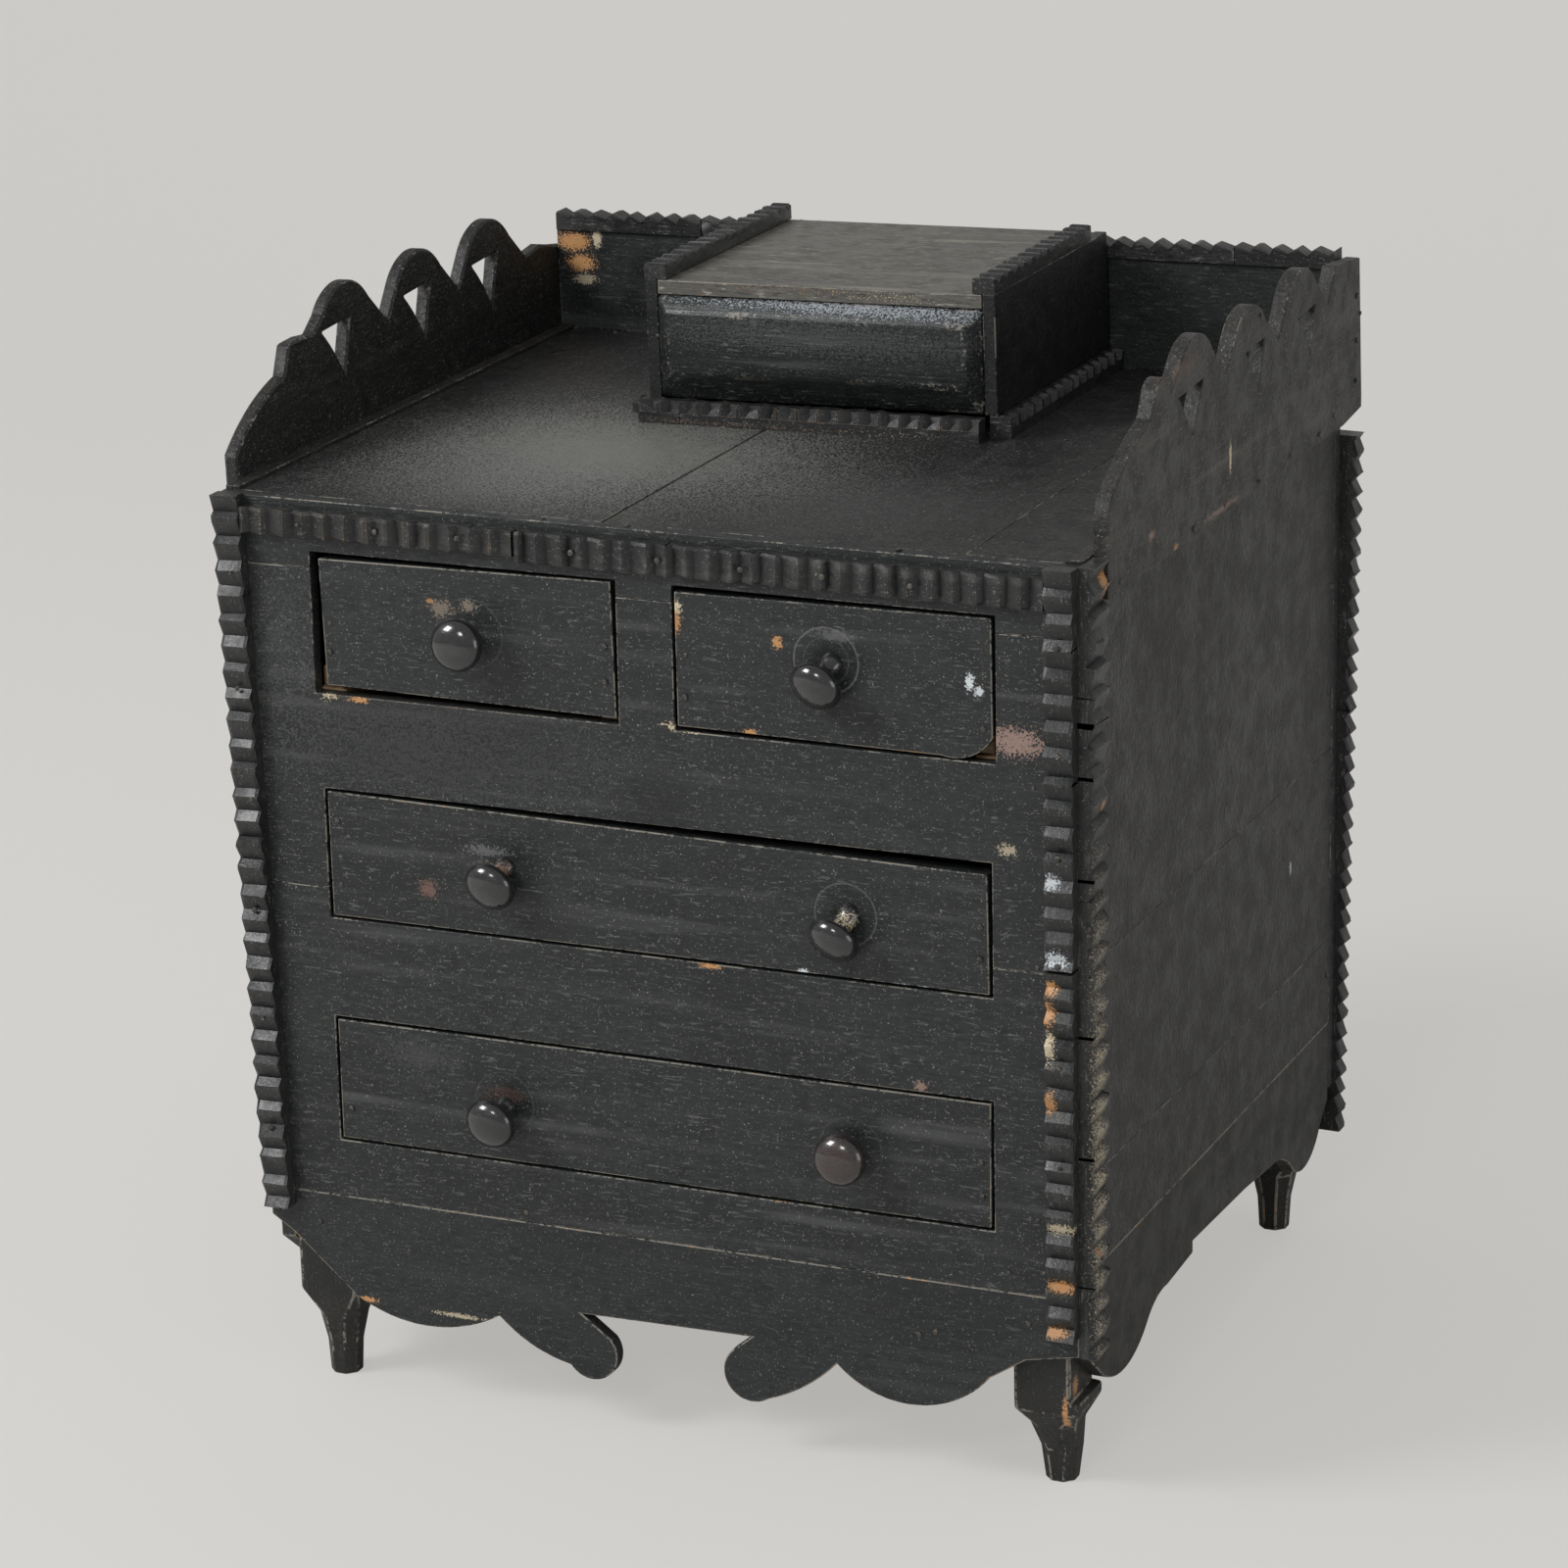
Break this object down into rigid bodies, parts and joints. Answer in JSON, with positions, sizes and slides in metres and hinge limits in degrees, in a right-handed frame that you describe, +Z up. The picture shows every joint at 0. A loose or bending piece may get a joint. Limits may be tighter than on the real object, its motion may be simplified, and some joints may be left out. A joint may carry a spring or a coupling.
{
  "type": "miniature chest of drawers",
  "caption": "Small black-painted folk chest of drawers with notched edge strips, fretted galleries, turned knobs and a little lidded box on top.",
  "frame": {"origin": "on the ground under the middle of the whole footprint, knobs and strips included", "axes": "+Z up; the drawers face -Y and pull out along -Y; +X is the chest's right as it is looked at"},
  "size_m": [0.3826, 0.3572, 0.4521],
  "materials": {
    "black_painted_wood": "worn satin black paint",
    "knob_paint": "glossy black paint on turned wood",
    "worn_lid_wood": "thin worn paint with bare grain",
    "bare_softwood": "unpainted, darkened by age"
  },
  "bodies": {
    "root": {"back_board_lower": "black_painted_wood", "back_board_upper": "black_painted_wood", "back_cap_strip": "black_painted_wood", "back_gallery": "black_painted_wood", "base_strip_front": "black_painted_wood", "base_strips_side": "black_painted_wood", "box_back": "black_painted_wood", "box_floor": "bare_softwood", "box_front": "black_painted_wood", "box_side_left": "black_painted_wood", "box_side_right": "black_painted_wood", "drawer_runners": "bare_softwood", "foot_front_left": "black_painted_wood", "foot_front_right": "black_painted_wood", "foot_rear_left": "black_painted_wood", "foot_rear_right": "black_painted_wood", "front_apron": "black_painted_wood", "front_board_lower": "black_painted_wood", "front_board_upper": "black_painted_wood", "front_strip_left": "black_painted_wood", "front_strip_right_lower": "black_painted_wood", "front_strip_right_upper": "black_painted_wood", "front_top_rail": "black_painted_wood", "gallery_left": "black_painted_wood", "gallery_right": "black_painted_wood", "lid_strips": "black_painted_wood", "rear_strip_left": "black_painted_wood", "rear_strip_right": "black_painted_wood", "side_apron_left": "black_painted_wood", "side_apron_right": "black_painted_wood", "side_left_lower": "black_painted_wood", "side_left_middle": "black_painted_wood", "side_left_upper": "black_painted_wood", "side_right_lower": "black_painted_wood", "side_right_middle": "black_painted_wood", "side_right_upper": "black_painted_wood", "side_strip_left": "black_painted_wood", "side_strip_right": "black_painted_wood", "top_board_left": "black_painted_wood", "top_board_middle": "black_painted_wood", "top_board_right": "black_painted_wood", "top_strip_left": "black_painted_wood", "top_strip_right": "black_painted_wood"},
    "drawer_small_left": {"drawer_small_left_bottom": "bare_softwood", "drawer_small_left_front": "black_painted_wood", "drawer_small_left_knob": "knob_paint", "drawer_small_left_walls": "bare_softwood"},
    "drawer_small_right": {"drawer_small_right_bottom": "bare_softwood", "drawer_small_right_front": "black_painted_wood", "drawer_small_right_knob": "knob_paint", "drawer_small_right_walls": "bare_softwood"},
    "drawer_middle": {"drawer_middle_bottom": "bare_softwood", "drawer_middle_front": "black_painted_wood", "drawer_middle_knobs": "knob_paint", "drawer_middle_walls": "bare_softwood"},
    "drawer_bottom": {"drawer_bottom_bottom": "bare_softwood", "drawer_bottom_front": "black_painted_wood", "drawer_bottom_knobs": "knob_paint", "drawer_bottom_walls": "bare_softwood"},
    "box_lid": {"box_lid": "worn_lid_wood"}
  },
  "joints": [
    {"name": "drawer_small_left_slide", "type": "slide", "parent": "root", "child": "drawer_small_left", "axis": [0, -1, 0], "range_m": [0, 0.24]},
    {"name": "drawer_small_right_slide", "type": "slide", "parent": "root", "child": "drawer_small_right", "axis": [0, -1, 0], "range_m": [0, 0.24]},
    {"name": "drawer_middle_slide", "type": "slide", "parent": "root", "child": "drawer_middle", "axis": [0, -1, 0], "range_m": [0, 0.24]},
    {"name": "drawer_bottom_slide", "type": "slide", "parent": "root", "child": "drawer_bottom", "axis": [0, -1, 0], "range_m": [0, 0.24]},
    {"name": "box_lid_slide", "type": "slide", "parent": "root", "child": "box_lid", "axis": [0, -1, 0], "range_m": [0, 0.1]}
  ]
}
